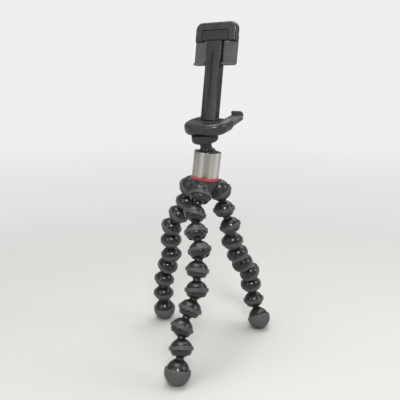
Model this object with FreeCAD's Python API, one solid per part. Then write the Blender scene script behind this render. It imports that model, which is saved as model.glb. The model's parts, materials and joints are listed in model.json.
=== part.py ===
import FreeCAD, Part
import math
import os

# Camera tripod with three bendable legs, a small ball head and a folding phone grip. Millimetres, Z up, Y away from the viewer.

os.makedirs("parts", exist_ok=True)
V = FreeCAD.Vector

# Clearances
RUN = 0.08            # radial clearance of a ball or a pin that turns
SLIDE = 0.1           # clearance each side of a sliding bar
SMALL_GAP = 0.05      # axial gap between two faces that turn on each other
SIDE_GAP = 0.5        # gap beside the two hinge blocks of the grip

# Leg links
LINK_PITCH = 14.2     # from one grip ring to the next
LINKS_PER_LEG = 8
RING_R = 8.75
RING_SEAT_R = 7.2
RING_HALF = 1.45
RING_EDGE = 0.45      # bevel on the edges of a grip ring
DOME_R = 7.75         # shell just above the ring
BULB_R = 7.6          # shell just below the ring
BALL_R = 5.9
NECK_R = 2.9
BALL_DROP = 0.8       # ball centre below the grip ring it sits in
MOUTH_DROP = 2.15     # retaining lip below the ball centre
MOUTH_R = 5.65
MOUTH_WALL = 0.4
SHELL_LOW = 5.0
DOME_TOP = 6.3
BALL_UP = LINK_PITCH - BALL_DROP
SOCKET_R = BALL_R + RUN

# Feet
FOOT_R = 9.4
FOOT_DROP = 15.4      # foot centre below its ball centre
BOOT_WALL = 1.3
BOOT_RIM = 2.2
FOOT_DOME_R = 9.1
FOOT_FLAT = 8.45

# Hub, with the leg arms as lean from straight down and turn seen from above
HUB_LEAN_RIGHT = 6
HUB_LEAN_FRONT = 3
HUB_R = 10.2
HUB_TOP = 9.9
HUB_FOOT = -6.0
ARM_OUT = 14.45
ARM_LEAN = 37
ARM_TURN = {"front": -100, "left": 140, "right": 20}

# Pose of the legs: lean from straight down and turn from the right hand side, one pair for each link and the foot
POSE = {
    "front": [(27, -130), (32, -80), (33, -70), (19, -115), (18, -95), (29, -135), (35, -135), (27, -90), (19, -120)],
    "left": [(27, 110), (36, 145), (35, 140), (25, 95), (15, 90), (33, 120), (18, 140), (12, 105), (10, 80)],
    "right": [(9, 5), (21, 0), (19, 65), (32, 50), (42, 60), (44, 45), (24, 75), (11, -10), (28, -55)],
}

# Ball head, heights along the hub axis
HEAD_BALL_R = 8.4
HEAD_BALL_Z = 26.7
RED_TOP = 12.0
SLEEVE_R = HEAD_BALL_R + 0.02
SLEEVE_TOP = 19.0
SLEEVE_FLOOR = 13.0
CUP_BORE = 6.5
NUT_WALL = 1.25
COLLAR_SKIN = 0.55    # wall of the silver tube around the collar's nut
COLLAR_R = SLEEVE_R + RUN + NUT_WALL + COLLAR_SKIN
RED_R = COLLAR_R - 0.05
COLLAR_TOP = 31.2
COLLAR_LIP = 3.5      # lip above the ball centre
NUT_TOP = 30.5
CUP_LIFT = 0.25       # travel of the seat cup
CORE_R = 2.0
HEAD_NECK_R = 4.4

# Platform, distances from the ball centre along its own axis
PLATE_LOW = 12.4
PLATE_FLAT = 7.8      # radius of the flat underside
PLATE_SIDE = 14.0     # where the straight side begins
PLATE_TOP = 17.0
PAD_TOP = 18.0
PLATE_R = 10.0
RIVET_R = 1.8
SCREW_R = 3.1         # quarter inch camera thread

# Phone grip, base tipped back and turned to the right, stem leaning back from the base
GRIP_TURN = 33
GRIP_TIP = 13
STEM_LEAN = 22
HINGE_Y = 8.6
HINGE_Z = 6.0
JAW_HALF = 17.8
LOWER_CORNER = 12.0
UPPER_CORNER = 5.5
LOWER_EDGE = 3.6      # roundings of the lower jaw and the upper jaw
UPPER_EDGE = 2.2
FINGER_EDGE = 0.9
FINGER_LOW = 2.6      # underside of a finger below the hinge axis, at its root and at its tip
FINGER_TIP_LOW = 2.3
LOWER_OUT = 16.5      # from the hinge to the outer edge
LOWER_REACH = 21.5    # from the hinge to the finger tips
UPPER_OUT = 10.0
UPPER_REACH = 21.5
RIDGE = 3.1           # ridge above the hinge axis
JAW_BACK = 2.9
PAD_FACE = 1.0
PAD_THICK = 1.2
LIP_UP = 4.0
LIP_IN = 0.8          # lip narrower than its finger, each side
BLOCK_HALF = 11.0     # half width of the hinge blocks
BLOCK_R = 4.15
BLOCK_HIGH = 3.8
SWING = 4.3           # half of the pocket a hinge block turns in
STEM_HALF = 6.35
SLOT_HALF = 6.8
PIN_R = 1.2
PIN_HALF = 14.6
STEM_LONG = 64.6      # hinge to hinge with the grip closed
STEM_FRONT = 3.6      # front face before the hinge axis
STEM_BACK = 2.9
CAVITY_HALF = 5.0
CAVITY_FRONT = -2.2
COVER_IN = 1.7
SLIDER_LOW = 11.0
SHOULDER = 19.8
SPRING_X = 3.65


def turned(path):
    """Solid of revolution about Z: the path starts at its first point, then lines (r, z) or arcs (r, z, r, z)."""
    edges = []
    here = V(path[0][0], 0, path[0][1])
    for step in path[1:] + [path[0]]:
        there = V(step[-2], 0, step[-1])
        if len(step) == 4:
            edges.append(Part.Arc(here, V(step[0], 0, step[1]), there).toShape())
        elif there.sub(here).Length > 1e-6:
            edges.append(Part.makeLine(here, there))
        here = there
    face = Part.Face(Part.Wire(edges))
    return face.revolve(V(0, 0, 0), V(0, 0, 1), 360)


def box(x0, x1, y0, y1, z0, z1):
    return Part.makeBox(x1 - x0, y1 - y0, z1 - z0, V(x0, y0, z0))


def rod(radius, x0, x1, y, z):
    return Part.makeCylinder(radius, x1 - x0, V(x0, y, z), V(1, 0, 0))


def upright(radius, x, y, z0, z1):
    return Part.makeCylinder(radius, z1 - z0, V(x, y, z0))


def on_circle(radius, height):
    return math.sqrt(radius * radius - height * height)


def place(shape, spot):
    copy = shape.copy()
    copy.Placement = spot.multiply(copy.Placement)
    return copy


def spot(origin, x, z):
    """Placement with its Z along z and its X near x."""
    return FreeCAD.Placement(origin, FreeCAD.Rotation(x, z.cross(x), z, "ZXY"))


def heading(lean, turn):
    lean = math.radians(lean)
    turn = math.radians(turn)
    return V(math.sin(lean) * math.cos(turn), math.sin(lean) * math.sin(turn), -math.cos(lean))


def down_the_leg(centre, way):
    """Placement of a leg piece: origin at the centre, Z back up the leg."""
    side = V(way.y, -way.x, 0)
    return spot(centre, side.normalize(), way * -1)


def rounded(block, radius, x, y):
    """Rounds the upright edges of a block nearest to the given places."""
    edges = []
    for e in block.Edges:
        a = e.Vertexes[0].Point
        b = e.Vertexes[-1].Point
        if abs(a.x - b.x) < 1e-6 and abs(a.y - b.y) < 1e-6 and abs(abs(a.x) - x) < 1e-6 and abs(a.y - y) < 1e-6:
            edges.append(e)
    return block.makeFillet(radius, edges)


def softened(block, radius, z):
    """Rounds the edges of a block that lie at the height z."""
    edges = []
    for e in block.Edges:
        b = e.BoundBox
        if abs(b.ZMin - z) < 1e-4 and abs(b.ZMax - z) < 1e-4:
            edges.append(e)
    return block.makeFillet(radius, edges)


# Leg pieces, origin at the middle of the grip ring and Z back up the leg
ball_join = BALL_UP - on_circle(BALL_R, NECK_R)
lip_r = on_circle(SOCKET_R, MOUTH_DROP)
link_shell = turned([
    (0, BALL_UP + BALL_R),
    (BALL_R, BALL_UP, NECK_R, ball_join),
    (NECK_R, DOME_TOP + 0.4),
    (NECK_R + 0.4, DOME_TOP),
    (6.35, 4.1, DOME_R, RING_HALF),
    (RING_SEAT_R, RING_HALF),
    (RING_SEAT_R, -RING_HALF),
    (BULB_R, -RING_HALF),
    (7.2, -3.2, MOUTH_R + MOUTH_WALL, -SHELL_LOW),
    (MOUTH_R, -SHELL_LOW),
    (lip_r, -BALL_DROP - MOUTH_DROP),
    (SOCKET_R, -BALL_DROP, 0, SOCKET_R - BALL_DROP),
])
grip_ring = turned([
    (RING_SEAT_R, -RING_HALF),
    (RING_R - RING_EDGE, -RING_HALF),
    (RING_R, RING_EDGE - RING_HALF),
    (RING_R, RING_HALF - RING_EDGE),
    (RING_R - RING_EDGE, RING_HALF),
    (RING_SEAT_R, RING_HALF),
])

# Foot pieces, origin at the middle of the round foot
core_r = FOOT_R - BOOT_WALL
rim_in = on_circle(core_r, BOOT_RIM)
rim_out = on_circle(FOOT_R, BOOT_RIM)
low = math.sqrt(0.5)
foot_core_shape = turned([
    (0, FOOT_DROP + BALL_R),
    (BALL_R, FOOT_DROP, NECK_R, FOOT_DROP - on_circle(BALL_R, NECK_R)),
    (NECK_R, FOOT_FLAT),
    (on_circle(FOOT_DOME_R, FOOT_FLAT), FOOT_FLAT),
    (on_circle(FOOT_DOME_R, 5.5), 5.5, on_circle(FOOT_DOME_R, BOOT_RIM), BOOT_RIM),
    (rim_in, BOOT_RIM),
    (core_r * low, -core_r * low, 0, -core_r),
])
foot_boot_shape = turned([
    (rim_in, BOOT_RIM),
    (rim_out, BOOT_RIM),
    (FOOT_R * low, -FOOT_R * low, 0, -FOOT_R),
    (0, -core_r),
    (core_r * low, -core_r * low, rim_in, BOOT_RIM),
])

# Hub frame: origin in the plane of its three arm rings, still at world zero until the front leg sets the height
lean_x = math.tan(math.radians(HUB_LEAN_RIGHT))
lean_y = math.tan(math.radians(HUB_LEAN_FRONT))
hub_up = V(lean_x, -lean_y, 1).normalize()
hub_x = V(1, 0, -lean_x).normalize()
hub_spot = spot(V(0, 0, 0), hub_x, hub_up)


def arm_in_hub(name):
    way = heading(ARM_LEAN, ARM_TURN[name])
    turn = math.radians(ARM_TURN[name])
    centre = V(ARM_OUT * math.cos(turn), ARM_OUT * math.sin(turn), 0)
    return centre, way


def leg_chain(name, swing):
    """Ball centres, directions and ring centres down one leg, the whole leg swung up or down at its hub ball."""
    centre, way = arm_in_hub(name)
    centre = hub_spot.multVec(centre)
    way = hub_spot.Rotation.multVec(way)
    pivot = centre + way * BALL_DROP
    foot_side = V(0, 0, 0)
    for lean, turn in POSE[name]:
        foot_side = foot_side + heading(lean, turn)
    axis = V(foot_side.y, -foot_side.x, 0).normalize()
    tip = FreeCAD.Rotation(axis, swing)
    balls = []
    ways = []
    centres = []
    for number, (lean, turn) in enumerate(POSE[name]):
        ball = pivot if number == 0 else centres[-1] + ways[-1] * BALL_DROP
        way = tip.multVec(heading(lean, turn))
        reach = BALL_UP if number < LINKS_PER_LEG else FOOT_DROP
        balls.append(ball)
        ways.append(way)
        centres.append(ball + way * reach)
    return balls, ways, centres


def swing_to(name, foot_height):
    """Swing in degrees at the hub ball that brings the foot centre to the given height."""
    balls, ways, centres = leg_chain(name, 0)
    arm = centres[-1] - balls[0]
    now = math.asin(arm.z / arm.Length)
    wanted = math.asin((foot_height - balls[0].z) / arm.Length)
    return math.degrees(wanted - now)


foot_height = leg_chain("front", 0)[2][-1].z
LEGS = {}
for name in POSE:
    swing = 0 if name == "front" else swing_to(name, foot_height)
    LEGS[name] = leg_chain(name, swing)
    if abs(LEGS[name][2][-1].z - foot_height) > 0.01:
        LEGS[name] = leg_chain(name, -swing)
floor_z = foot_height - FOOT_R

parts = {}
for name, (balls, ways, centres) in LEGS.items():
    for number in range(LINKS_PER_LEG):
        where = down_the_leg(centres[number], ways[number])
        parts[f"{name}_leg_link_{number + 1}"] = [place(link_shell, where), place(grip_ring, where)]
    where = down_the_leg(centres[-1], ways[-1])
    parts[f"{name}_foot_core"] = [place(foot_core_shape, where)]
    parts[f"{name}_foot_boot"] = [place(foot_boot_shape, where)]

# Hub body with its three sockets
hub = turned([
    (0, HUB_FOOT),
    (4.6, HUB_FOOT),
    (6.4, -4.4),
    (8.2, 0.5),
    (HUB_R, 6.0),
    (HUB_R, HUB_TOP),
    (0, HUB_TOP),
])
arm_shape = turned([
    (0, 10.0),
    (4.6, 9.0),
    (6.9, 5.8, DOME_R, RING_HALF),
    (RING_SEAT_R, RING_HALF),
    (RING_SEAT_R, -RING_HALF),
    (BULB_R, -RING_HALF),
    (7.2, -3.2, MOUTH_R + MOUTH_WALL, -SHELL_LOW),
    (0, -SHELL_LOW),
])
arm_hollow = turned([
    (0, SOCKET_R - BALL_DROP),
    (SOCKET_R, -BALL_DROP, lip_r, -BALL_DROP - MOUTH_DROP),
    (MOUTH_R, -SHELL_LOW),
    (MOUTH_R, -SHELL_LOW - 6),
    (0, -SHELL_LOW - 6),
])
ring_room = turned([
    (RING_SEAT_R, -RING_HALF),
    (RING_SEAT_R + 4, -RING_HALF),
    (RING_SEAT_R + 4, RING_HALF),
    (RING_SEAT_R, RING_HALF),
])
arm_spots = []
for name in POSE:
    centre, way = arm_in_hub(name)
    arm_spots.append(down_the_leg(centre, way))
for where in arm_spots:
    hub = hub.fuse(place(arm_shape, where))
hub = hub.common(upright(40, 0, 0, -30, HUB_TOP))
for where in arm_spots:
    hub = hub.cut(place(ring_room, where))
    hub = hub.cut(place(arm_hollow, where))
hub = hub.cut(upright(CORE_R, 0, 0, HUB_FOOT - 1, HUB_TOP + 1))
hub = hub.cut(upright(3.4, 0, 0, HUB_FOOT - 1, HUB_FOOT + 2.6))
parts["hub_body"] = [place(hub.removeSplitter(), hub_spot)]
parts["hub_grip_rings"] = [place(place(grip_ring, where), hub_spot) for where in arm_spots]

# Pieces on the hub axis
core_screw = upright(3.4, 0, 0, HUB_FOOT + 0.4, HUB_FOOT + 2.6)
core_screw = core_screw.fuse(upright(CORE_R, 0, 0, HUB_FOOT + 2.6, SLEEVE_FLOOR - 0.4))
core_screw = core_screw.cut(box(-2.4, 2.4, -0.5, 0.5, HUB_FOOT, HUB_FOOT + 1.3))
parts["hub_core_screw"] = [place(core_screw, hub_spot)]
red_in = SLEEVE_R - 0.6
sleeve = turned([
    (CORE_R, HUB_TOP),
    (red_in, HUB_TOP),
    (red_in, RED_TOP),
    (SLEEVE_R, RED_TOP),
    (SLEEVE_R, SLEEVE_TOP),
    (CUP_BORE, SLEEVE_TOP),
    (CUP_BORE, SLEEVE_FLOOR),
    (CORE_R, SLEEVE_FLOOR),
])
parts["threaded_sleeve"] = [place(sleeve, hub_spot)]
red = turned([
    (red_in, HUB_TOP),
    (RED_R, HUB_TOP),
    (RED_R, RED_TOP),
    (red_in, RED_TOP),
])
parts["red_ring"] = [place(red, hub_spot)]
collar_in = SLEEVE_R + RUN
collar_low = RED_TOP + SMALL_GAP
collar_ball = HEAD_BALL_R + 0.1
collar = turned([
    (collar_in, collar_low),
    (COLLAR_R - COLLAR_SKIN, collar_low),
    (COLLAR_R - COLLAR_SKIN, NUT_TOP),
    (on_circle(collar_ball, COLLAR_LIP), HEAD_BALL_Z + COLLAR_LIP),
    (on_circle(collar_ball, 2.0), HEAD_BALL_Z + 2.0, collar_ball, HEAD_BALL_Z),
])
parts["lock_collar"] = [place(collar, hub_spot)]
collar_tube = turned([
    (COLLAR_R - COLLAR_SKIN, collar_low),
    (COLLAR_R - 0.2, collar_low),
    (COLLAR_R, collar_low + 0.2),
    (COLLAR_R, COLLAR_TOP - 0.2),
    (COLLAR_R - 0.2, COLLAR_TOP),
    (COLLAR_R - COLLAR_SKIN, COLLAR_TOP),
])
parts["collar_tube"] = [place(collar_tube, hub_spot)]
cup_r = CUP_BORE - RUN
cup_ball = HEAD_BALL_R + 0.02
cup_top = 20.6
cup_low = 15.9
cup = turned([
    (CORE_R, cup_low),
    (cup_r, cup_low),
    (cup_r, cup_top),
    (on_circle(cup_ball, HEAD_BALL_Z - cup_top), cup_top),
    (4.2, HEAD_BALL_Z - on_circle(cup_ball, 4.2), CORE_R, HEAD_BALL_Z - on_circle(cup_ball, CORE_R)),
])
parts["seat_cup"] = [place(cup, hub_spot)]
spring = turned([
    (3.6, SLEEVE_FLOOR),
    (5.6, SLEEVE_FLOOR),
    (5.6, cup_low - CUP_LIFT - SMALL_GAP),
    (3.6, cup_low - CUP_LIFT - SMALL_GAP),
])
parts["seat_spring"] = [place(spring, hub_spot)]

# Ball and platform, origin at the ball centre
across = V(math.cos(math.radians(GRIP_TURN)), -math.sin(math.radians(GRIP_TURN)), 0)
back = V(math.sin(math.radians(GRIP_TURN)), math.cos(math.radians(GRIP_TURN)), 0)
tip = math.radians(GRIP_TIP)
plate_up = back * -math.sin(tip) + V(0, 0, 1) * math.cos(tip)
head_centre = hub_spot.multVec(V(0, 0, HEAD_BALL_Z))
head_spot = spot(head_centre, across, plate_up)
ball = turned([
    (0, -HEAD_BALL_R),
    (HEAD_BALL_R, 0, HEAD_NECK_R, on_circle(HEAD_BALL_R, HEAD_NECK_R)),
    (HEAD_NECK_R, PLATE_LOW - SMALL_GAP),
    (RIVET_R, PLATE_LOW - SMALL_GAP),
    (RIVET_R, HEAD_BALL_R - 0.4),
    (0, HEAD_BALL_R - 0.4),
])
parts["tilt_ball"] = [place(ball, head_spot)]
web_top = PLATE_LOW + 1.2
head_low = web_top + SMALL_GAP
rivet = upright(RIVET_R, 0, 0, HEAD_BALL_R - 0.4, head_low).fuse(upright(3.4, 0, 0, head_low, head_low + 1.0))
parts["pan_rivet"] = [place(rivet.removeSplitter(), head_spot)]
flange_low = head_low + 1.3
plate = turned([
    (RIVET_R + RUN, PLATE_LOW),
    (PLATE_FLAT, PLATE_LOW),
    (PLATE_R - 0.6, PLATE_LOW + 0.5, PLATE_R, PLATE_SIDE),
    (PLATE_R, PLATE_TOP),
    (5.0, PLATE_TOP),
    (5.0, flange_low),
    (3.5, flange_low),
    (3.5, web_top),
    (RIVET_R + RUN, web_top),
])
parts["platform"] = [place(plate, head_spot)]
pad = turned([
    (SCREW_R + 0.2, PLATE_TOP),
    (PLATE_R - 0.2, PLATE_TOP),
    (PLATE_R - 0.2, PAD_TOP),
    (SCREW_R + 0.2, PAD_TOP),
])
parts["platform_pad"] = [place(pad, head_spot)]
screw_top = PAD_TOP + 4.6
screw = turned([
    (0, flange_low),
    (5.0, flange_low),
    (5.0, PLATE_TOP),
    (SCREW_R, PLATE_TOP),
    (SCREW_R, screw_top - 0.6),
    (SCREW_R - 0.6, screw_top),
    (0, screw_top),
])
parts["camera_screw"] = [place(screw, head_spot)]

# Phone grip jaws, origin on the hinge axis, Y towards the finger tips and Z towards the phone


def soft_underside(bar):
    """Rounds the lower outer edges of a finger piece."""
    edges = []
    for e in bar.Edges:
        a = e.Vertexes[0].Point
        b = e.Vertexes[-1].Point
        outer = abs(abs(a.x) - JAW_HALF) < 1e-6 and abs(a.x - b.x) < 1e-6
        if outer and abs(a.y - b.y) > 1 and max(a.z, b.z) < -FINGER_EDGE:
            edges.append(e)
    return bar.makeFillet(FINGER_EDGE, edges)


def jaw_shape(out, reach, corner, edge, low):
    ridge = box(-JAW_HALF, JAW_HALF, -out, SWING, -low, RIDGE)
    ridge = rounded(ridge, corner, JAW_HALF, -out)
    ridge = softened(ridge, edge, RIDGE)
    ridge = softened(ridge, edge, -low)
    tip = reach - PAD_THICK
    top = PAD_FACE - PAD_THICK
    side = [V(-JAW_HALF, 0, top), V(-JAW_HALF, 0, -FINGER_LOW), V(-JAW_HALF, tip, -FINGER_TIP_LOW), V(-JAW_HALF, tip, top)]
    bar = Part.Face(Part.makePolygon(side + side[:1])).extrude(V(2 * JAW_HALF, 0, 0))
    return ridge.fuse(soft_underside(bar))


def jaw_hollows(shape, reach, pocket_low):
    shape = shape.cut(box(-BLOCK_HALF - SIDE_GAP, BLOCK_HALF + SIDE_GAP, -SWING, SWING, pocket_low, RIDGE + 1))
    return shape.cut(box(-SLOT_HALF, SLOT_HALF, SWING, reach + 1, -HINGE_Z - 1, RIDGE + 1))


def jaw_pads(reach):
    pads = []
    for side in (-1, 1):
        inner = side * (SLOT_HALF + 0.05)
        outer = side * JAW_HALF
        x0 = min(inner, outer)
        x1 = max(inner, outer)
        face = box(x0, x1, SWING + 0.8, reach - PAD_THICK, PAD_FACE - PAD_THICK, PAD_FACE)
        tip_wall = soft_underside(box(x0, x1, reach - PAD_THICK, reach, -FINGER_TIP_LOW, PAD_FACE))
        lip = box(x0 + LIP_IN, x1 - LIP_IN, reach - PAD_THICK, reach, PAD_FACE, LIP_UP)
        pads.append(face.fuse([tip_wall, lip]).removeSplitter())
    return pads


def hinge_block():
    block = box(-BLOCK_HALF, BLOCK_HALF, -RIDGE, RIDGE - 0.1, -BLOCK_HIGH, BLOCK_HIGH)
    return block.common(rod(BLOCK_R, -BLOCK_HALF, BLOCK_HALF, 0, 0))


def pin_room(radius):
    return rod(radius, -PIN_HALF - 0.2, JAW_HALF + 1, 0, 0)


grip_origin = head_spot.multVec(V(0, 0, PAD_TOP))
grip_spot = spot(grip_origin, across, plate_up)
lower_spot = grip_spot.multiply(FreeCAD.Placement(V(0, HINGE_Y, HINGE_Z), FreeCAD.Rotation()))
lower = jaw_shape(LOWER_OUT, LOWER_REACH, LOWER_CORNER, LOWER_EDGE, HINGE_Z)
lower = jaw_hollows(lower, LOWER_REACH, -SWING - 0.6)
insert_top = 5.2 - HINGE_Z
lower = lower.cut(upright(3.9, 0, -HINGE_Y, -HINGE_Z - 1, insert_top))
lower = lower.cut(upright(SCREW_R + 0.1, 0, -HINGE_Y, -HINGE_Z - 1, insert_top + 1.2))
lower = lower.cut(pin_room(PIN_R))
parts["lower_jaw"] = [place(lower.removeSplitter(), lower_spot)]
parts["lower_jaw_pads"] = [place(p, lower_spot) for p in jaw_pads(LOWER_REACH)]
insert = upright(3.9, 0, -HINGE_Y, -HINGE_Z, insert_top).cut(upright(SCREW_R, 0, -HINGE_Y, -HINGE_Z - 1, insert_top + 1))
parts["thread_insert"] = [place(insert, lower_spot)]
parts["lower_hinge_pin"] = [place(rod(PIN_R, -PIN_HALF, JAW_HALF - 0.4, 0, 0), lower_spot)]

# Stem, origin on the lower hinge axis, Z up the stem and Y to the back
stem_turn = FreeCAD.Rotation(V(1, 0, 0), -STEM_LEAN)
stem_spot = lower_spot.multiply(FreeCAD.Placement(V(0, 0, 0), stem_turn))
stem_top = STEM_LONG - BLOCK_HIGH - 0.3
cover_low = 4.6
cover_top = stem_top - 2.0
cover_half = CAVITY_HALF + 0.5
stem = hinge_block().fuse(box(-STEM_HALF, STEM_HALF, -STEM_FRONT, STEM_BACK, 2.0, stem_top))
stem = stem.cut(box(-CAVITY_HALF, CAVITY_HALF, CAVITY_FRONT, COVER_IN, 3.4, stem_top + 1))
stem = stem.cut(box(-cover_half, cover_half, COVER_IN, STEM_BACK + 1, cover_low, cover_top))
stem = stem.fuse(box(-2.2, 2.2, CAVITY_FRONT, COVER_IN, 3.4, 9.6))
groove_top = stem_top - 9.0
groove = box(-0.8, 0.8, -STEM_FRONT - 1, -STEM_FRONT + 0.7, 4.6, groove_top)
groove_end = Part.makeCylinder(0.8, 1.7, V(0, -STEM_FRONT - 1, groove_top), V(0, 1, 0))
stem = stem.cut(groove.fuse(groove_end))
stem = stem.cut(pin_room(PIN_R + RUN))
cover = box(-cover_half, cover_half, COVER_IN, STEM_BACK, cover_low, cover_top)
cover_screws = []
for height in (6.2, 8.4):
    shank = Part.makeCylinder(0.5, 2.5, V(0, STEM_BACK - 3.0, height), V(0, 1, 0))
    head = Part.makeCylinder(0.9, 0.4, V(0, STEM_BACK - 0.6, height), V(0, 1, 0))
    room = Part.makeCylinder(0.9, 1.0, V(0, STEM_BACK - 0.6, height), V(0, 1, 0))
    screw_shape = shank.fuse(head).removeSplitter()
    cover = cover.cut(room).cut(screw_shape)
    stem = stem.cut(screw_shape)
    cover_screws.append(place(screw_shape, stem_spot))
parts["stem_channel"] = [place(stem.removeSplitter(), stem_spot)]
parts["stem_back_cover"] = [place(cover, stem_spot)]
parts["cover_screws"] = cover_screws
spring_y = (CAVITY_FRONT + COVER_IN) / 2
springs = []
for side in (-1, 1):
    coil = Part.makeCylinder(1.25, SHOULDER - 0.2 - 3.4, V(side * SPRING_X, spring_y, 3.4))
    springs.append(place(coil.cut(Part.makeCylinder(0.85, 30, V(side * SPRING_X, spring_y, 0))), stem_spot))
parts["return_springs"] = springs

# Slider with its hinge block, and the upper jaw folded down over the stem
slider = box(-CAVITY_HALF + SLIDE, CAVITY_HALF - SLIDE, CAVITY_FRONT + RUN, COVER_IN - RUN, SHOULDER, STEM_LONG)
slider = slider.fuse(box(-2.2, 2.2, CAVITY_FRONT + RUN, COVER_IN - RUN, SLIDER_LOW, SHOULDER))
top_block = hinge_block()
top_block.translate(V(0, 0, STEM_LONG))
slider = slider.fuse(top_block)
top_pin = rod(PIN_R, -PIN_HALF, JAW_HALF - 0.4, 0, STEM_LONG)
slider = slider.cut(top_pin)
parts["slider_bar"] = [place(slider.removeSplitter(), stem_spot)]
parts["upper_hinge_pin"] = [place(top_pin, stem_spot)]
upper_turn = FreeCAD.Rotation(V(-1, 0, 0), V(0, 0, -1), V(0, -1, 0), "ZXY")
upper_spot = stem_spot.multiply(FreeCAD.Placement(V(0, 0, STEM_LONG), upper_turn))
upper = jaw_hollows(jaw_shape(UPPER_OUT, UPPER_REACH, UPPER_CORNER, UPPER_EDGE, JAW_BACK), UPPER_REACH, -JAW_BACK - 1)
upper = upper.cut(rod(PIN_R + RUN, -JAW_HALF - 1, PIN_HALF + 0.2, 0, 0))
parts["upper_jaw"] = [place(upper.removeSplitter(), upper_spot)]
parts["upper_jaw_pads"] = [place(p, upper_spot) for p in jaw_pads(UPPER_REACH)]

# Origin at the middle of the footprint, on the floor
whole = Part.makeCompound([s for shapes in parts.values() for s in shapes]).BoundBox
shift = V(-(whole.XMin + whole.XMax) / 2, -(whole.YMin + whole.YMax) / 2, -floor_z)
for name, shapes in parts.items():
    for s in shapes:
        s.translate(shift)
    shape = shapes[0] if len(shapes) == 1 else Part.makeCompound(shapes)
    shape.exportStep(f"parts/{name}.step")
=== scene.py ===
import json
import math
import bpy
from mathutils import Matrix, Vector


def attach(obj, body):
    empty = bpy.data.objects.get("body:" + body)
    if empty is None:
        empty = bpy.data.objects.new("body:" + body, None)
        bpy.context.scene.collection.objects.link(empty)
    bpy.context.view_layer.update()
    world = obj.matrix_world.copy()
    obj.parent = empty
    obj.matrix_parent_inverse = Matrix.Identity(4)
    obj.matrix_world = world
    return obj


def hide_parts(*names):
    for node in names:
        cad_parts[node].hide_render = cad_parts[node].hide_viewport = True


# Camera tripod with bendable legs, a ball head and a folding phone grip.
# Pieces are modelled in millimetres and placed in metres.

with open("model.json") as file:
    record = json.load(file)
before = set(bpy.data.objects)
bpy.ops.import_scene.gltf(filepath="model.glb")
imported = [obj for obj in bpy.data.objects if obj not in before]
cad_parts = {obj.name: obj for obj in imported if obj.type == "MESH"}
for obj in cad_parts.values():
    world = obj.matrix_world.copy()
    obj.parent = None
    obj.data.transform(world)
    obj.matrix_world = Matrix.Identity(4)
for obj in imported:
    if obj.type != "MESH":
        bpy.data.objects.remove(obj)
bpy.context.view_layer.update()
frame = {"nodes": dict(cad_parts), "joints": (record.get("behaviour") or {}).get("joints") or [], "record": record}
nodes = frame["nodes"]
joints = {joint["name"]: joint for joint in frame["joints"]}
mounts = {mount["name"]: mount for mount in frame["record"]["mounts"]}
MM = 0.001
LEGS = ("front", "left", "right")
LINKS = 8
LINK_SPIN = 23        # degrees from link to link, so that neighbours don't show the same marks
BALL_UP = 13.4        # ball centre above the middle of its link
BALL_DROP = 0.8       # socket centre below the middle of its link
ARM_LEAN = 37         # degrees between a hub arm and straight down
COLLAR_UP = 20        # collar joint above the hub's own origin
HEAD_BALL_UP = 26.7   # camera ball's centre above the hub's own origin
FOOT_R = 9.4
FOOT_BALL_UP = 15.4   # ball centre above the middle of its foot
NEAR = 0.02           # how close a corner has to be to a place to be taken as there


# Places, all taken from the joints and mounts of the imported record


def joint_point(name):
    return Vector(joints[name]["pos_m"])


def joint_axis(name):
    return Vector(joints[name]["axis"]).normalized()


def place_at(origin, across, up):
    """Matrix from a piece's own millimetres to the frame, its Z along up and its X near across."""
    z = up.normalized()
    y = z.cross(across).normalized()
    x = y.cross(z)
    turn = Matrix((x, y, z)).transposed().to_4x4()
    return Matrix.Translation(origin) @ turn @ Matrix.Scale(MM, 4)


hub_up = joint_axis("collar_turn")
hub_origin = joint_point("collar_turn") - hub_up * COLLAR_UP * MM
hub_place = place_at(hub_origin, Vector((1, 0, 0)), hub_up)
across = joint_axis("top_jaw_fold")
head_place = place_at(joint_point("ball_tilt"), across, joint_axis("platform_pan"))
lower_place = place_at(joint_point("stem_fold"), across, joint_axis("platform_pan"))
stem_up = joint_axis("slider_pull")
stem_place = place_at(joint_point("stem_fold"), across, stem_up)
STEM_LONG = (joint_point("top_jaw_fold") - joint_point("stem_fold")).length / MM
upper_place = place_at(joint_point("top_jaw_fold"), -across, across.cross(stem_up))


def ball_point(leg, number):
    return joint_point(f"{leg}_leg_ball_{number}")


def leg_place(leg, number):
    """Place of a link, or last of the foot: origin in its widest part's middle, Z up the leg."""
    ball = ball_point(leg, number)
    if number > LINKS:
        contact = Vector(mounts[f"{leg}_foot_stand"]["pos_m"])
        middle = contact + Vector((0, 0, FOOT_R * MM))
        up = ball - middle
    else:
        up = ball - ball_point(leg, number + 1)
        middle = ball - up.normalized() * BALL_UP * MM
    return place_at(middle, Vector((0.3, 1, 0)), up)


def arm_places():
    """Places of the hub's three sockets, found from the first balls and the middle of the hub."""
    places = []
    lean = math.radians(ARM_LEAN)
    for leg in LEGS:
        ball = hub_place.inverted() @ ball_point(leg, 1)
        out = Vector((ball.x, ball.y, 0)).normalized()
        way = out * math.sin(lean) - Vector((0, 0, 1)) * math.cos(lean)
        z = -way
        y = z.cross(out).normalized()
        turn = Matrix((y.cross(z), y, z)).transposed().to_4x4()
        places.append(hub_place @ Matrix.Translation(ball - way * BALL_DROP) @ turn)
    return places


# Modelling helpers


def only(obj):
    bpy.ops.object.select_all(action="DESELECT")
    obj.select_set(True)
    bpy.context.view_layer.objects.active = obj


def edit(obj, kind="VERT"):
    only(obj)
    bpy.ops.object.mode_set(mode="EDIT")
    bpy.ops.mesh.select_mode(type=kind)
    bpy.ops.mesh.select_all(action="DESELECT")


def leave_edit():
    bpy.ops.object.mode_set(mode="OBJECT")


def close_skin(gap):
    """In edit mode: merges corners that are closer than the gap and points the faces outwards."""
    bpy.ops.mesh.select_all(action="SELECT")
    bpy.ops.mesh.remove_doubles(threshold=gap)
    bpy.ops.mesh.normals_make_consistent(inside=False)


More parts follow.
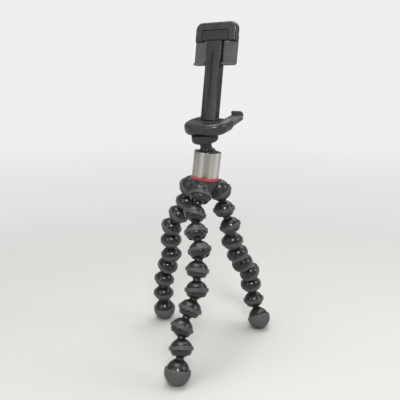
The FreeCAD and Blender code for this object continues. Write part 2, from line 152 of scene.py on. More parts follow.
def smooth(obj, angle):
    only(obj)
    bpy.ops.object.shade_smooth_by_angle(angle=math.radians(angle))


def apply(obj, kind, **settings):
    """Adds a modifier with these settings and applies it."""
    only(obj)
    step = obj.modifiers.new(kind.lower(), kind)
    for name, value in settings.items():
        setattr(step, name, value)
    bpy.ops.object.modifier_apply(modifier=step.name)


def join_all(parts, name):
    """Joins separate bodies into one piece."""
    only(parts[0])
    for other in parts[1:]:
        other.select_set(True)
    bpy.ops.object.join()
    parts[0].name = name
    return parts[0]


def turn_up(name, outline, sides=64, closed=False):
    """Turned piece from an outline of (radius, height) points. A radius of 0 closes a pole."""
    pole = 0.001
    here_r, here_z = outline[0]
    here_r = max(here_r, pole)
    bpy.ops.object.select_all(action="DESELECT")
    bpy.ops.mesh.primitive_circle_add(
        vertices=sides, radius=here_r, fill_type="NOTHING", location=(0, 0, here_z))
    obj = bpy.context.active_object
    obj.name = name
    bpy.ops.object.transform_apply(location=True)
    bpy.ops.object.mode_set(mode="EDIT")
    bpy.ops.mesh.select_all(action="SELECT")
    steps = outline[1:] + [outline[0]] if closed else outline[1:]
    for radius, height in steps:
        radius = max(radius, pole)
        rise = (0, 0, height - here_z)
        bpy.ops.mesh.extrude_edges_move(TRANSFORM_OT_translate={"value": rise})
        grow = radius / here_r
        bpy.ops.transform.resize(value=(grow, grow, 1), center_override=(0, 0, height))
        here_r, here_z = radius, height
    close_skin(0.003)
    leave_edit()
    smooth(obj, 35)
    return obj


def arc(middle_z, radius, start, end, steps):
    """Points of a round part of an outline; angles in degrees up from the level of its middle."""
    points = []
    for i in range(steps + 1):
        a = math.radians(start + (end - start) * i / steps)
        points.append((radius * math.cos(a), middle_z + radius * math.sin(a)))
    return points


def bend(a, b, c, steps):
    """Points of a soft corner from a to c that leans towards b."""
    points = []
    for i in range(steps + 1):
        t = i / steps
        weights = ((1 - t) ** 2, 2 * t * (1 - t), t * t)
        points.append(tuple(sum(w * p[k] for w, p in zip(weights, (a, b, c))) for k in (0, 1)))
    return points


def through(a, b, c, steps):
    """Points of the circle from a over b to c."""
    (ax, ay), (bx, by), (cx, cy) = a, b, c
    d = 2 * (ax * (by - cy) + bx * (cy - ay) + cx * (ay - by))
    a2 = ax * ax + ay * ay
    b2 = bx * bx + by * by
    c2 = cx * cx + cy * cy
    ox = (a2 * (by - cy) + b2 * (cy - ay) + c2 * (ay - by)) / d
    oy = (a2 * (cx - bx) + b2 * (ax - cx) + c2 * (bx - ax)) / d
    radius = math.hypot(ax - ox, ay - oy)
    start = math.atan2(ay - oy, ax - ox)
    turn = (math.atan2(cy - oy, cx - ox) - start + math.pi) % (2 * math.pi) - math.pi
    points = []
    for i in range(steps + 1):
        angle = start + turn * i / steps
        points.append((ox + radius * math.cos(angle), oy + radius * math.sin(angle)))
    return points


def new_solid(name):
    """Takes the solid that was just added, with its size and place worked in."""
    obj = bpy.context.active_object
    obj.name = name
    bpy.ops.object.transform_apply(location=True, rotation=True, scale=True)
    return obj


def block(name, x0, x1, y0, y1, z0, z1):
    bpy.ops.object.select_all(action="DESELECT")
    middle = ((x0 + x1) / 2, (y0 + y1) / 2, (z0 + z1) / 2)
    size = (x1 - x0, y1 - y0, z1 - z0)
    bpy.ops.mesh.primitive_cube_add(size=1, location=middle, scale=size)
    return new_solid(name)


def peg(name, radius, middle, length, axis, sides=32):
    bpy.ops.object.select_all(action="DESELECT")
    turns = {"x": (0, math.pi / 2, 0), "y": (math.pi / 2, 0, 0), "z": (0, 0, 0)}
    bpy.ops.mesh.primitive_cylinder_add(
        vertices=sides, radius=radius, depth=length, location=middle, rotation=turns[axis])
    return new_solid(name)


def round_edges(obj, width, test, steps):
    """Bevels the edges that pass the test, which is given an edge's two ends."""
    edit(obj, "EDGE")
    leave_edit()
    corners = obj.data.vertices
    for e in obj.data.edges:
        e.select = test(*(corners[i].co for i in e.vertices))
    bpy.ops.object.mode_set(mode="EDIT")
    bpy.ops.mesh.bevel(offset=width, offset_type="OFFSET", segments=steps, profile=0.5)
    leave_edit()


def slide(obj, test, shift):
    """Moves the corners that pass the test."""
    edit(obj)
    leave_edit()
    for v in obj.data.vertices:
        v.select = test(v.co)
    bpy.ops.object.mode_set(mode="EDIT")
    bpy.ops.transform.translate(value=shift)
    leave_edit()


def upright_at(x, y):
    """Test for the upright edges at this place and at its mirror image across the middle."""
    def test(a, b):
        upright = abs(a.x - b.x) < NEAR and abs(a.y - b.y) < NEAR
        return upright and abs(abs(a.x) - x) < NEAR and abs(a.y - y) < NEAR
    return test


def level_at(height):
    """Test for the edges that lie at this height."""
    def test(a, b):
        return all(abs(v.z - height) < NEAR for v in (a, b))
    return test


def along_y_at(x, height):
    """Test for an edge that runs along Y, at this place."""
    def test(a, b):
        return all(abs(v.x - x) < NEAR and abs(v.z - height) < NEAR for v in (a, b))
    return test


def along_x(a, b):
    """Test for the edges that run along X."""
    return abs(a.y - b.y) < NEAR and abs(a.z - b.z) < NEAR


def join_solid(obj, other, how):
    apply(obj, "BOOLEAN", operation=how, solver="EXACT", object=other)
    bpy.data.objects.remove(other)


def cut(obj, other):
    join_solid(obj, other, "DIFFERENCE")


def add(obj, other):
    join_solid(obj, other, "UNION")


def soften(obj, width, steps):
    """Small rounding on every sharp edge, with the flat faces still flat."""
    apply(obj, "BEVEL", width=width, segments=steps, limit_method="ANGLE",
          angle_limit=math.radians(32), use_clamp_overlap=True)
    smooth(obj, 40)
    apply(obj, "WEIGHTED_NORMAL", keep_sharp=True)
    return obj


def copy_of(obj, name):
    only(obj)
    bpy.ops.object.duplicate()
    twin = bpy.context.active_object
    twin.name = name
    return twin


def paint(obj, finish):
    obj.data.materials.clear()
    obj.data.materials.append(finishes[finish])


def fit(obj, where, body, finish, stands_for=()):
    """Puts a finished piece in its place, on its body and in its finish."""
    obj.data.transform(where)
    obj.data.update()
    paint(obj, finish)
    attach(obj, body)
    if stands_for:
        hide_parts(*stands_for)
    return obj


# Finishes


def new_group(name, inputs, outputs):
    group = bpy.data.node_groups.new(name, "ShaderNodeTree")
    for label, kind, value in inputs:
        socket = group.interface.new_socket(label, in_out="INPUT", socket_type=kind)
        if value is not None:
            socket.default_value = value
    for label, kind in outputs:
        group.interface.new_socket(label, in_out="OUTPUT", socket_type=kind)
    start = group.nodes.new("NodeGroupInput")
    end = group.nodes.new("NodeGroupOutput")
    return group, start, end


def make_grain():
    """Fine moulded or sanded grain as a normal."""
    inputs = [
        ("Vector", "NodeSocketVector", None),
        ("Scale", "NodeSocketFloat", 900.0),
        ("Height", "NodeSocketFloat", 0.1),
    ]
    group, start, end = new_group("fine grain", inputs, [("Normal", "NodeSocketVector")])
    noise = group.nodes.new("ShaderNodeTexNoise")
    noise.inputs["Detail"].default_value = 3.0
    bump = group.nodes.new("ShaderNodeBump")
    bump.inputs["Distance"].default_value = 0.0002
    link = group.links.new
    link(start.outputs["Vector"], noise.inputs["Vector"])
    link(start.outputs["Scale"], noise.inputs["Scale"])
    link(noise.outputs["Fac"], bump.inputs["Height"])
    link(start.outputs["Height"], bump.inputs["Strength"])
    link(bump.outputs["Normal"], end.inputs["Normal"])
    return group


def make_handling():
    """Soft patches of wear: a mask from 0 to 1 and a roughness that varies around its middle."""
    inputs = [
        ("Vector", "NodeSocketVector", None),
        ("Scale", "NodeSocketFloat", 120.0),
        ("Middle", "NodeSocketFloat", 0.4),
        ("Spread", "NodeSocketFloat", 0.1),
    ]
    outputs = [("Mask", "NodeSocketFloat"), ("Roughness", "NodeSocketFloat")]
    group, start, end = new_group("handling marks", inputs, outputs)
    noise = group.nodes.new("ShaderNodeTexNoise")
    noise.inputs["Detail"].default_value = 5.0
    noise.inputs["Roughness"].default_value = 0.6
    ramp = group.nodes.new("ShaderNodeMapRange")
    ramp.inputs["From Min"].default_value = 0.32
    ramp.inputs["From Max"].default_value = 0.68
    centre = group.nodes.new("ShaderNodeMath")
    centre.operation = "SUBTRACT"
    centre.inputs[1].default_value = 0.5
    spread = group.nodes.new("ShaderNodeMath")
    spread.operation = "MULTIPLY_ADD"
    link = group.links.new
    link(start.outputs["Vector"], noise.inputs["Vector"])
    link(start.outputs["Scale"], noise.inputs["Scale"])
    link(noise.outputs["Fac"], ramp.inputs["Value"])
    link(ramp.outputs["Result"], centre.inputs[0])
    link(centre.outputs["Value"], spread.inputs[0])
    link(start.outputs["Spread"], spread.inputs[1])
    link(start.outputs["Middle"], spread.inputs[2])
    link(ramp.outputs["Result"], end.inputs["Mask"])
    link(spread.outputs["Value"], end.inputs["Roughness"])
    return group


grain_group = make_grain()
handling_group = make_handling()


def new_material(name):
    material = bpy.data.materials.new(name)
    material.use_nodes = True
    tree = material.node_tree
    return material, tree, tree.nodes["Principled BSDF"], tree.links.new


def add_grain(tree, shader, vector, scale, height):
    skin = tree.nodes.new("ShaderNodeGroup")
    skin.node_tree = grain_group
    skin.inputs["Scale"].default_value = scale
    skin.inputs["Height"].default_value = height
    tree.links.new(vector, skin.inputs["Vector"])
    tree.links.new(skin.outputs["Normal"], shader.inputs["Normal"])


def finish_of(name, colour, worn, rough, spread, grain, height, metal=0.0):
    """A colour that shifts a little to its worn tone, patchy roughness and a fine grain."""
    material, tree, shader, link = new_material(name)
    vector = tree.nodes.new("ShaderNodeTexCoord").outputs["Object"]
    marks = tree.nodes.new("ShaderNodeGroup")
    marks.node_tree = handling_group
    marks.inputs["Middle"].default_value = rough
    marks.inputs["Spread"].default_value = spread
    link(vector, marks.inputs["Vector"])
    add_grain(tree, shader, vector, grain, height)
    tone = tree.nodes.new("ShaderNodeMix")
    tone.data_type = "RGBA"
    tone.inputs["A"].default_value = (*colour, 1)
    tone.inputs["B"].default_value = (*worn, 1)
    link(marks.outputs["Mask"], tone.inputs["Factor"])
    link(tone.outputs["Result"], shader.inputs["Base Color"])
    link(marks.outputs["Roughness"], shader.inputs["Roughness"])
    shader.inputs["Metallic"].default_value = metal
    return material


def streaked_metal_with_painted_reflections(name, axis_turn):
    """Drawn tube: long dark and light streaks all along the tube, partly its drawn grain and partly painted
    reflection bands, and a fine grain.
    """
    material, tree, shader, link = new_material(name)
    place = tree.nodes.new("ShaderNodeTexCoord")
    turned = tree.nodes.new("ShaderNodeMapping")
    turned.inputs["Rotation"].default_value = axis_turn
    along_tube = tree.nodes.new("ShaderNodeMapping")
    along_tube.inputs["Scale"].default_value = (1, 1, 0.01)
    broad = tree.nodes.new("ShaderNodeTexNoise")
    broad.inputs["Scale"].default_value = 150
    broad.inputs["Detail"].default_value = 3.0
    # painted reflection: the dark and light base colours of the streaks stand partly for reflected bands of the
    # room and partly for the tube's drawn grain
    ramp = tree.nodes.new("ShaderNodeValToRGB")
    dark, light = ramp.color_ramp.elements
    dark.position = 0.36
    dark.color = (0.2, 0.19, 0.165, 1)
    light.position = 0.66
    light.color = (0.74, 0.72, 0.68, 1)
    rough = tree.nodes.new("ShaderNodeMapRange")
    rough.inputs["To Min"].default_value = 0.42
    rough.inputs["To Max"].default_value = 0.22
    link(place.outputs["Object"], turned.inputs["Vector"])
    link(turned.outputs["Vector"], along_tube.inputs["Vector"])
    link(along_tube.outputs["Vector"], broad.inputs["Vector"])
    link(broad.outputs["Fac"], ramp.inputs["Fac"])
    link(broad.outputs["Fac"], rough.inputs["Value"])
    link(ramp.outputs["Color"], shader.inputs["Base Color"])
    link(rough.outputs["Result"], shader.inputs["Roughness"])
    add_grain(tree, shader, along_tube.outputs["Vector"], 1500, 0.05)
    shader.inputs["Metallic"].default_value = 1.0
    return material


# Colour, worn colour, roughness and its spread, grain's scale and height, and how metallic
FINISHES = {
    "shell_black": ((0.011, 0.011, 0.012), (0.019, 0.019, 0.02), 0.24, 0.1, 700, 0.03),
    "ball_black": ((0.012, 0.012, 0.012), (0.018, 0.018, 0.018), 0.4, 0.1, 700, 0.03),
    "ring_rubber": ((0.044, 0.044, 0.045), (0.068, 0.068, 0.069), 0.46, 0.14, 2600, 0.2),
    "boot_rubber": ((0.06, 0.06, 0.06), (0.084, 0.084, 0.083), 0.62, 0.14, 2200, 0.25),
    "red_plastic": ((0.45, 0.03, 0.028), (0.52, 0.05, 0.045), 0.36, 0.1, 900, 0.04),
    "hub_black": ((0.015, 0.015, 0.016), (0.024, 0.024, 0.025), 0.3, 0.12, 1100, 0.05),
    "jaw_black": ((0.018, 0.018, 0.019), (0.03, 0.03, 0.031), 0.3, 0.12, 1500, 0.06),
    "stem_black": ((0.010, 0.010, 0.011), (0.018, 0.018, 0.019), 0.34, 0.12, 1500, 0.06),
    "finger_rubber": ((0.06, 0.06, 0.063), (0.085, 0.085, 0.088), 0.6, 0.14, 2400, 0.15),
    "pad_rubber": ((0.02, 0.02, 0.021), (0.032, 0.032, 0.033), 0.6, 0.14, 2400, 0.15),
    "plate_black": ((0.010, 0.010, 0.011), (0.018, 0.018, 0.019), 0.42, 0.12, 1600, 0.08),
    "zinc_steel": ((0.5, 0.5, 0.49), (0.58, 0.58, 0.57), 0.34, 0.12, 900, 0.08, 1.0),
    "brass_metal": ((0.72, 0.54, 0.26), (0.78, 0.6, 0.32), 0.3, 0.1, 900, 0.08, 1.0),
    "inner_black": ((0.01, 0.01, 0.01), (0.016, 0.016, 0.016), 0.5, 0.1, 1200, 0.06),
}
finishes = {name: finish_of(name, *values) for name, values in FINISHES.items()}
# collar metal, its streaks partly painted reflection bands
finishes["collar_metal"] = streaked_metal_with_painted_reflections("collar_metal", hub_place.inverted().to_euler())

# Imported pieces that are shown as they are
SHOWN_AS_PACKED = {
    "zinc_steel": (
        "hub_core_screw", "seat_spring", "pan_rivet", "camera_screw",
        "lower_hinge_pin", "upper_hinge_pin", "return_springs", "cover_screws",
    ),
    "inner_black": ("threaded_sleeve", "seat_cup"),
    "brass_metal": ("thread_insert",),
}
for finish, names in SHOWN_AS_PACKED.items():
    for name in names:
        paint(nodes[name], finish)

# Leg links: a glossy shell with its ball, and a grip ring around it
BALL_R = 5.9
NECK_R = 2.9
SOCKET_R = 5.98
SOCKET_LIP_DOWN = 2.15
DOME_R = 7.75
BULB_R = 7.6
RING_SEAT_R = 7.2
RING_HALF = 1.45
neck_angle = math.degrees(math.acos(NECK_R / BALL_R))
lip_angle = math.degrees(math.asin(SOCKET_LIP_DOWN / SOCKET_R))
outline = arc(BALL_UP, BALL_R, 90, -neck_angle, 20)
outline += bend((NECK_R, 7.3), (NECK_R, 6.4), (3.5, 6.22), 4)
outline += through((3.7, 6.15), (6.35, 4.1), (DOME_R, RING_HALF + 0.12), 10)
outline += [(DOME_R - 0.1, RING_HALF), (RING_SEAT_R, RING_HALF)]
outline += [(RING_SEAT_R, -RING_HALF), (BULB_R - 0.1, -RING_HALF)]
outline += through((BULB_R, -RING_HALF - 0.12), (7.2, -3.2), (6.12, -4.85), 9)
outline += [(6.02, -4.96), (5.9, -5.0), (5.76, -4.98), (5.66, -4.88)]
outline += arc(-BALL_DROP, SOCKET_R, -lip_angle, 90, 14)
shell = turn_up("shell_pattern", outline)

ring_edge = [
    (8.28, -1.45), (8.42, -1.4), (8.62, -1.2), (8.72, -1.06), (8.75, -0.9), (8.75, -0.62),
    (8.66, -0.5),
]
outline = [(RING_SEAT_R, -RING_HALF)] + ring_edge
outline += [(radius, -height) for radius, height in reversed(ring_edge)]
outline += [(RING_SEAT_R, RING_HALF)]
ring = turn_up("ring_pattern", outline, closed=True)

for leg in LEGS:
    for number in range(1, LINKS + 1):
        spin = Matrix.Rotation(math.radians(LINK_SPIN * number), 4, "Z")
        where = leg_place(leg, number) @ spin
        body = f"{leg}_link_{number}"
        node = f"{leg}_leg_link_{number}"
        fit(copy_of(shell, f"{body}_shell"), where, body, "shell_black", (node,))
        fit(copy_of(ring, f"{body}_ring"), where, body, "ring_rubber")

# Feet: glossy top with its ball, rubber boot with a lipped rim
FOOT_DOME_R = 8.35
BOOT_IN = 8.1
BOOT_TOP = 2.2
outline = arc(FOOT_BALL_UP, BALL_R, 90, -neck_angle, 20)
outline += bend((NECK_R, 9.4), (NECK_R, 8.6), (3.45, 8.35), 4)
outline += through((3.7, 8.28), (6.7, 5.6), (FOOT_DOME_R, BOOT_TOP), 12)
outline += [(BOOT_IN - 0.35, BOOT_TOP)]
outline += arc(0, BOOT_IN - 0.02, 14, -90, 14)
foot_top = turn_up("foot_top_pattern", outline)
outline = arc(0, BOOT_IN, -90, 14, 14)
outline += [(7.9, BOOT_TOP), (8.9, BOOT_TOP), (9.06, 2.16), (9.16, 2.04)]
outline += arc(0, FOOT_R, 11, -90, 24)
boot = turn_up("boot_pattern", outline)
for leg in LEGS:
    where = leg_place(leg, LINKS + 1)
    foot = f"{leg}_foot"
    fit(copy_of(foot_top, f"{foot}_top"), where, foot, "shell_black",
        (f"{foot}_core",))
    fit(copy_of(boot, f"{foot}_rubber"), where, foot, "boot_rubber",
        (f"{foot}_boot",))

# Hub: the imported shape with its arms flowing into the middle
hub = copy_of(nodes["hub_body"], "hub_shell")
hub.parent = None
for key in list(hub.keys()):
    del hub[key]
hub.data.transform(hub_place.inverted())
edit(hub)
close_skin(0.0005)
leave_edit()
apply(hub, "REMESH", mode="VOXEL", voxel_size=0.42)
apply(hub, "SMOOTH", factor=0.5, iterations=4)
bpy.ops.object.shade_smooth()
fit(hub, hub_place, "hub", "hub_black", ("hub_body",))
rings = []
for where in arm_places():
    twin = copy_of(ring, "hub_ring")
    twin.data.transform(where)
    rings.append(twin)
fit(join_all(rings, "hub_rings"), Matrix.Identity(4), "hub", "ring_rubber",
    ("hub_grip_rings",))
for pattern in (shell, ring, foot_top, boot):
    bpy.data.objects.remove(pattern)

# Red ring, silver collar and the nut inside it
RED_IN = 7.9
TUBE_IN = 9.75
TUBE_R = 10.3
outline = [(RED_IN, 9.92), (10.05, 9.92), (10.2, 9.98), (10.25, 10.12)]
outline += [(10.25, 11.8), (10.2, 11.94), (10.05, 12.0), (RED_IN, 12.0)]
red = turn_up("red_band", outline, sides=96, closed=True)
fit(red, hub_place, "hub", "red_plastic", ("red_ring",))
outline = [(TUBE_IN, 12.06), (10.05, 12.06), (10.2, 12.11), (TUBE_R, 12.3), (TUBE_R, 30.72)]
outline += bend((10.29, 30.86), (10.24, 31.14), (9.98, 31.2), 4)
outline += [(9.82, 31.14), (TUBE_IN, 31.0)]
tube = turn_up("collar_sleeve", outline, sides=128, closed=True)
fit(tube, hub_place, "collar", "collar_metal", ("collar_tube",))
outline = [(8.5, 12.06), (TUBE_IN, 12.06), (TUBE_IN, 30.42), (9.65, 30.5), (9.4, 30.48)]
outline += [(8.2, 30.3), (7.95, 30.22), (7.84, 30.1)]
outline += arc(HEAD_BALL_UP, 8.5, 22, 0, 8)
nut = turn_up("collar_nut", outline, sides=128, closed=True)
fit(nut, hub_place, "collar", "inner_black", ("lock_collar",))

# Ball with its neck, platform and its rubber top, heights above the ball's centre
HEAD_R = 8.4
HEAD_NECK_R = 4.4
PLATE_R = 10.0
RIVET_ROOM = 1.88
PAD_IN = 3.3
PAD_TOP = 18.0
GROOVE_LOW = 17.85
neck_angle = math.degrees(math.acos(HEAD_NECK_R / HEAD_R))
outline = [(0.0, 8.0), (1.8, 8.0), (1.8, 12.34), (4.2, 12.34), (4.38, 12.25)]
outline += [(HEAD_NECK_R, 12.1), (HEAD_NECK_R, 9.2)]
outline += bend((HEAD_NECK_R, 8.6), (HEAD_NECK_R, 7.6), (4.9, 6.82), 4)
outline += arc(0, HEAD_R, neck_angle - 4, -90, 30)
ball = turn_up("ball_and_neck", outline, sides=96)
fit(ball, head_place, "ball", "ball_black", ("tilt_ball",))
outline = [(RIVET_ROOM, 12.4), (7.6, 12.4)]
outline += through((7.8, 12.41), (9.4, 12.95), (PLATE_R, 14.1), 8)
outline += [(PLATE_R, 16.8), (9.95, 16.95), (9.8, 17.0), (5.05, 17.0), (5.05, 14.96)]
outline += [(3.5, 14.96), (3.5, 13.62), (RIVET_ROOM, 13.62)]
plate = turn_up("platform_dish", outline, sides=96, closed=True)
fit(plate, head_place, "grip_base", "plate_black", ("platform",))
outline = [(PAD_IN, 17.02), (9.6, 17.02), (9.78, 17.1), (9.8, 17.25), (9.8, 17.7)]
outline += [(9.72, 17.92), (9.5, PAD_TOP), (9.2, PAD_TOP), (9.1, GROOVE_LOW)]
outline += [(8.8, GROOVE_LOW), (8.7, PAD_TOP), (8.2, PAD_TOP), (8.1, GROOVE_LOW)]
outline += [(7.8, GROOVE_LOW), (7.7, PAD_TOP), (PAD_IN, PAD_TOP)]
pad = turn_up("platform_rubber", outline, sides=96, closed=True)
fit(pad, head_place, "grip_base", "pad_rubber", ("platform_pad",))

# Jaws of the phone grip: origin on the hinge axis, Y towards the finger tips, Z towards the phone
JAW_HALF = 17.8
SLOT_HALF = 6.8
POCKET_HALF = 11.5
SWING = 4.3           # room on either side of the hinge axis
RIDGE = 3.1
REACH = 21.5          # finger tips from the hinge axis
SLEEVE_TOP = 1.0
SLEEVE_LOW = -2.55
LIP_TOP = 4.0
LIP_THICK = 1.25
PAST = 1.0            # how far a cutting block stands out past what it cuts
PIN_MIDDLE = 1.5
PIN_ROOM_LONG = 33.6


def jaw(name, out, low, pocket_low, corner, edge):
    """Rounded ridge around the hinge pocket, with the two fingers' cores."""
    ridge = block(name, -JAW_HALF, JAW_HALF, -out, SWING, -low, RIDGE)
    round_edges(ridge, corner, upright_at(JAW_HALF, -out), 14)
    round_edges(ridge, edge, level_at(RIDGE), 8)
    round_edges(ridge, edge, level_at(-low), 8)
    core_half = JAW_HALF - 0.25
    add(ridge, block("core", -core_half, core_half, 0.5, REACH - LIP_THICK, -2.2, -0.25))
    cut(ridge, block("pocket", -POCKET_HALF, POCKET_HALF, -SWING, SWING + 0.02,
                     -pocket_low, RIDGE + PAST))
    cut(ridge, block("slot", -SLOT_HALF, SLOT_HALF, SWING - 0.3, REACH + PAST,
                     -low - PAST, RIDGE + PAST))
    return ridge


def jaw_rubber(name, root_drop):
    """Two rubber sleeves over the fingers, each with a lip at its tip and a lower root."""
    def top_rim(a, b):
        return min(a.z, b.z) > SLEEVE_TOP - NEAR and max(a.y, b.y) > SWING + 0.5

    def low_rim(a, b):
        return max(a.z, b.z) < SLEEVE_LOW + 0.05 and max(a.y, b.y) > SWING + 0.5

    sleeves = []
    for side in (-1, 1):
        inner = side * (SLOT_HALF + 0.05)
        outer = side * JAW_HALF
        sleeve = block(name, min(inner, outer), max(inner, outer), SWING + 0.35, REACH,
                       SLEEVE_LOW, SLEEVE_TOP)
        slide(sleeve, lambda v: v.y < REACH - 1 and v.z < 0, (0, 0, -root_drop))
        round_edges(sleeve, 2.2, upright_at(abs(outer), REACH), 8)
        round_edges(sleeve, 1.2, upright_at(abs(inner), REACH), 6)
        round_edges(sleeve, 0.8, top_rim, 4)
        round_edges(sleeve, 0.9, low_rim, 4)
        lip_in = inner + side * 0.8
        lip_out = outer - side * 0.25
        lip = block("lip", min(lip_in, lip_out), max(lip_in, lip_out),
                    REACH - LIP_THICK, REACH - 0.06, 0.0, LIP_TOP)
        round_edges(lip, 2.6, along_y_at(lip_out, LIP_TOP), 8)
        round_edges(lip, 0.7, along_y_at(lip_in, LIP_TOP), 4)
        add(sleeve, lip)
        sleeves.append(soften(sleeve, 0.2, 3))
    return join_all(sleeves, name)


lower = jaw("lower_jaw_body", out=16.5, low=6.0, pocket_low=4.9, corner=12.0, edge=3.6)
cut(lower, peg("bore", 3.9, (0, -8.6, -4.0), 6.4, "z"))
soften(lower, 0.3, 3)
fit(lower, lower_place, "grip_base", "jaw_black", ("lower_jaw",))
fit(jaw_rubber("lower_jaw_rubber", 0.7), lower_place, "grip_base", "finger_rubber",
    ("lower_jaw_pads",))
upper = jaw("upper_jaw_body", out=10.0, low=2.9, pocket_low=4.0, corner=5.5, edge=2.2)
cut(upper, peg("bore", 1.3, (PIN_MIDDLE, 0, 0), PIN_ROOM_LONG, "x"))
soften(upper, 0.3, 3)
fit(upper, upper_place, "top_jaw", "jaw_black", ("upper_jaw",))
fit(jaw_rubber("upper_jaw_rubber", 0.0), upper_place, "top_jaw", "finger_rubber",
    ("upper_jaw_pads",))

# Stem: channel with its hinge block, cover, slider
STEM_HALF = 6.35
FRONT = -3.6
BACK = 2.9
STEM_TOP = STEM_LONG - 4.1
WINDOW_LOW = 4.6
WINDOW_TOP = STEM_TOP - 2.0
CAVITY_BACK = 1.7
GROOVE_HALF = 0.8
GROOVE_TOP = STEM_TOP - 9.0
COVER_SCREWS = (6.2, 8.4)


def hinge_block(name, height):
    body = block(name, -11.0, 11.0, -3.1, 3.0, height - 3.8, height + 3.8)
    round_edges(body, 0.95, along_x, 5)
    return body


stem = block("stem_body", -STEM_HALF, STEM_HALF, FRONT, BACK, 2.0, STEM_TOP)
round_edges(stem, 0.8, upright_at(STEM_HALF, FRONT), 5)
round_edges(stem, 0.45, upright_at(STEM_HALF, BACK), 3)
add(stem, hinge_block("low_block", 0))
cut(stem, block("cavity", -5.0, 5.0, -2.2, CAVITY_BACK, 3.4, STEM_TOP + PAST))
cut(stem, block("window", -5.5, 5.5, CAVITY_BACK, BACK + PAST, WINDOW_LOW, WINDOW_TOP))
add(stem, block("boss", -2.2, 2.2, -2.25, 1.68, 3.3, 9.6))
groove = block("groove", -GROOVE_HALF, GROOVE_HALF, FRONT - PAST, FRONT + 0.7,
               WINDOW_LOW, GROOVE_TOP)
add(groove, peg("groove_end", GROOVE_HALF, (0, FRONT - 0.15, GROOVE_TOP), 1.7, "y", 24))
cut(stem, groove)
cut(stem, peg("bore", 1.28, (PIN_MIDDLE, 0, 0), PIN_ROOM_LONG, "x"))
soften(stem, 0.18, 2)
fit(stem, stem_place, "stem", "stem_black", ("stem_channel",))

cover = block("stem_cover", -5.48, 5.48, CAVITY_BACK + 0.02, BACK,
              WINDOW_LOW + 0.02, WINDOW_TOP - 0.02)
for height in COVER_SCREWS:
    cut(cover, peg("screw_room", 0.95, (0, BACK, height), 1.2, "y", 24))
cut(cover, block("long_recess", -3.6, 3.6, BACK - 0.35, BACK + PAST, 12.0, STEM_TOP - 6.0))
soften(cover, 0.2, 2)
fit(cover, stem_place, "stem", "plate_black", ("stem_back_cover",))

SLIDER_FRONT = -2.12
SLIDER_BACK = 1.62
slider = block("slider", -4.9, 4.9, SLIDER_FRONT, SLIDER_BACK, 19.8, STEM_LONG)
add(slider, block("spine", -2.2, 2.2, SLIDER_FRONT, SLIDER_BACK, 11.0, 19.9))
add(slider, hinge_block("head", STEM_LONG))
cut(slider, peg("bore", 1.2, (0, 0, STEM_LONG), 29, "x"))
soften(slider, 0.2, 2)
fit(slider, stem_place, "slider", "stem_black", ("slider_bar",))

# Floor that fades into the backdrop, lamps and camera
BACKDROP = (0.85, 0.86, 0.875, 1)
FLOOR_TONE = (0.57, 0.56, 0.535, 1)
FAR_FLOOR = (0.755, 0.75, 0.745, 1)
FLOOR_R = 4.0
FADE_TO_FAR = (0.12, 0.62)         # metres from the middle
FADE_TO_BACKDROP = (0.3, 1.9)


def make_floor_paint():
    """Matte floor that turns into a glow of its own tone and then of the backdrop's."""
    material, tree, shader, link = new_material("floor_paint")
    shader.inputs["Base Color"].default_value = FLOOR_TONE
    shader.inputs["Roughness"].default_value = 0.6
    coord = tree.nodes.new("ShaderNodeTexCoord")
    far = tree.nodes.new("ShaderNodeVectorMath")
    far.operation = "LENGTH"
    link(coord.outputs["Object"], far.inputs[0])

    def fade_over(near, distant):
        fade = tree.nodes.new("ShaderNodeMapRange")
        fade.interpolation_type = "SMOOTHSTEP"
        fade.inputs["From Min"].default_value = near
        fade.inputs["From Max"].default_value = distant
        link(far.outputs["Value"], fade.inputs["Value"])
        return fade.outputs["Result"]

    tone = tree.nodes.new("ShaderNodeMix")
    tone.data_type = "RGBA"
    tone.inputs["A"].default_value = FAR_FLOOR
    tone.inputs["B"].default_value = BACKDROP
    glow = tree.nodes.new("ShaderNodeEmission")
    mix = tree.nodes.new("ShaderNodeMixShader")
    link(fade_over(*FADE_TO_BACKDROP), tone.inputs["Factor"])
    link(tone.outputs["Result"], glow.inputs["Color"])
    link(fade_over(*FADE_TO_FAR), mix.inputs["Fac"])
    link(shader.outputs["BSDF"], mix.inputs[1])
    link(glow.outputs["Emission"], mix.inputs[2])
    link(mix.outputs["Shader"], tree.nodes["Material Output"].inputs["Surface"])
    return material


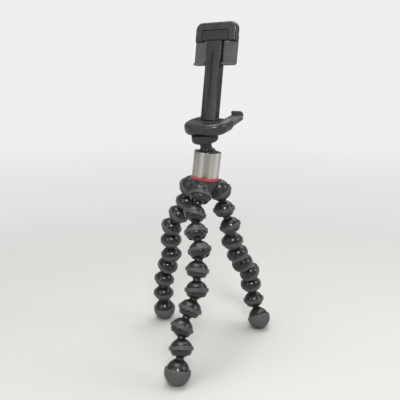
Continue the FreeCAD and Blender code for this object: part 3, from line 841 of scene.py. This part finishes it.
def make_world():
    """Soft light from all sides, and the plain backdrop for what the camera sees."""
    world = bpy.data.worlds.new("studio")
    bpy.context.scene.world = world
    world.use_nodes = True
    tree = world.node_tree
    link = tree.links.new
    soft = tree.nodes["Background"]
    soft.inputs["Color"].default_value = (0.8, 0.81, 0.83, 1)
    soft.inputs["Strength"].default_value = 0.4
    seen = tree.nodes.new("ShaderNodeBackground")
    seen.inputs["Color"].default_value = BACKDROP
    path = tree.nodes.new("ShaderNodeLightPath")
    either = tree.nodes.new("ShaderNodeMath")
    either.operation = "MAXIMUM"
    mix = tree.nodes.new("ShaderNodeMixShader")
    link(path.outputs["Is Camera Ray"], either.inputs[0])
    link(path.outputs["Is Transmission Ray"], either.inputs[1])
    link(either.outputs["Value"], mix.inputs["Fac"])
    link(soft.outputs["Background"], mix.inputs[1])
    link(seen.outputs["Background"], mix.inputs[2])
    link(mix.outputs["Shader"], tree.nodes["World Output"].inputs["Surface"])


def lamp(name, spot, aim, width, height, power, colour=(1, 1, 1)):
    data = bpy.data.lights.new(name, "AREA")
    data.shape = "RECTANGLE"
    data.size = width
    data.size_y = height
    data.energy = power
    data.color = colour
    obj = bpy.data.objects.new(name, data)
    bpy.context.scene.collection.objects.link(obj)
    obj.location = spot
    obj.rotation_euler = (Vector(aim) - Vector(spot)).to_track_quat("-Z", "Y").to_euler()


bpy.ops.object.select_all(action="DESELECT")
bpy.ops.mesh.primitive_circle_add(
    vertices=96, radius=FLOOR_R, fill_type="NGON", location=(0, 0, 0))
floor = bpy.context.active_object
floor.name = "floor"
floor.data.materials.append(make_floor_paint())
make_world()

MIDDLE = (0, 0, 0.12)
GRIP = (0, 0, 0.2)
lamp("overhead", (-0.1, -0.05, 1.3), MIDDLE, 0.9, 0.9, 10.0, (1.0, 0.99, 0.97))
lamp("front_left", (-0.75, -0.7, 0.55), MIDDLE, 0.6, 0.6, 2.2)
lamp("window", (0.05, -0.75, 0.66), MIDDLE, 0.2, 0.075, 4.0)
lamp("back_right", (0.45, 0.6, 1.1), MIDDLE, 0.9, 0.9, 5.5)
lamp("right", (0.8, -0.12, 0.5), GRIP, 0.35, 0.35, 1.6)

CAMERA_FROM_HUB = (-2.78, -419.75, 77.8)
CAMERA_DOWN = 11.4    # degrees below level
camera_data = bpy.data.cameras.new("camera")
camera_data.lens = 50.0
camera_data.sensor_width = 36.0
camera = bpy.data.objects.new("camera", camera_data)
bpy.context.scene.collection.objects.link(camera)
camera.location = hub_origin + Vector(CAMERA_FROM_HUB) * MM
camera.rotation_euler = (math.radians(90 - CAMERA_DOWN), 0, 0)
bpy.context.scene.camera = camera
bpy.context.scene.view_settings.view_transform = "Standard"
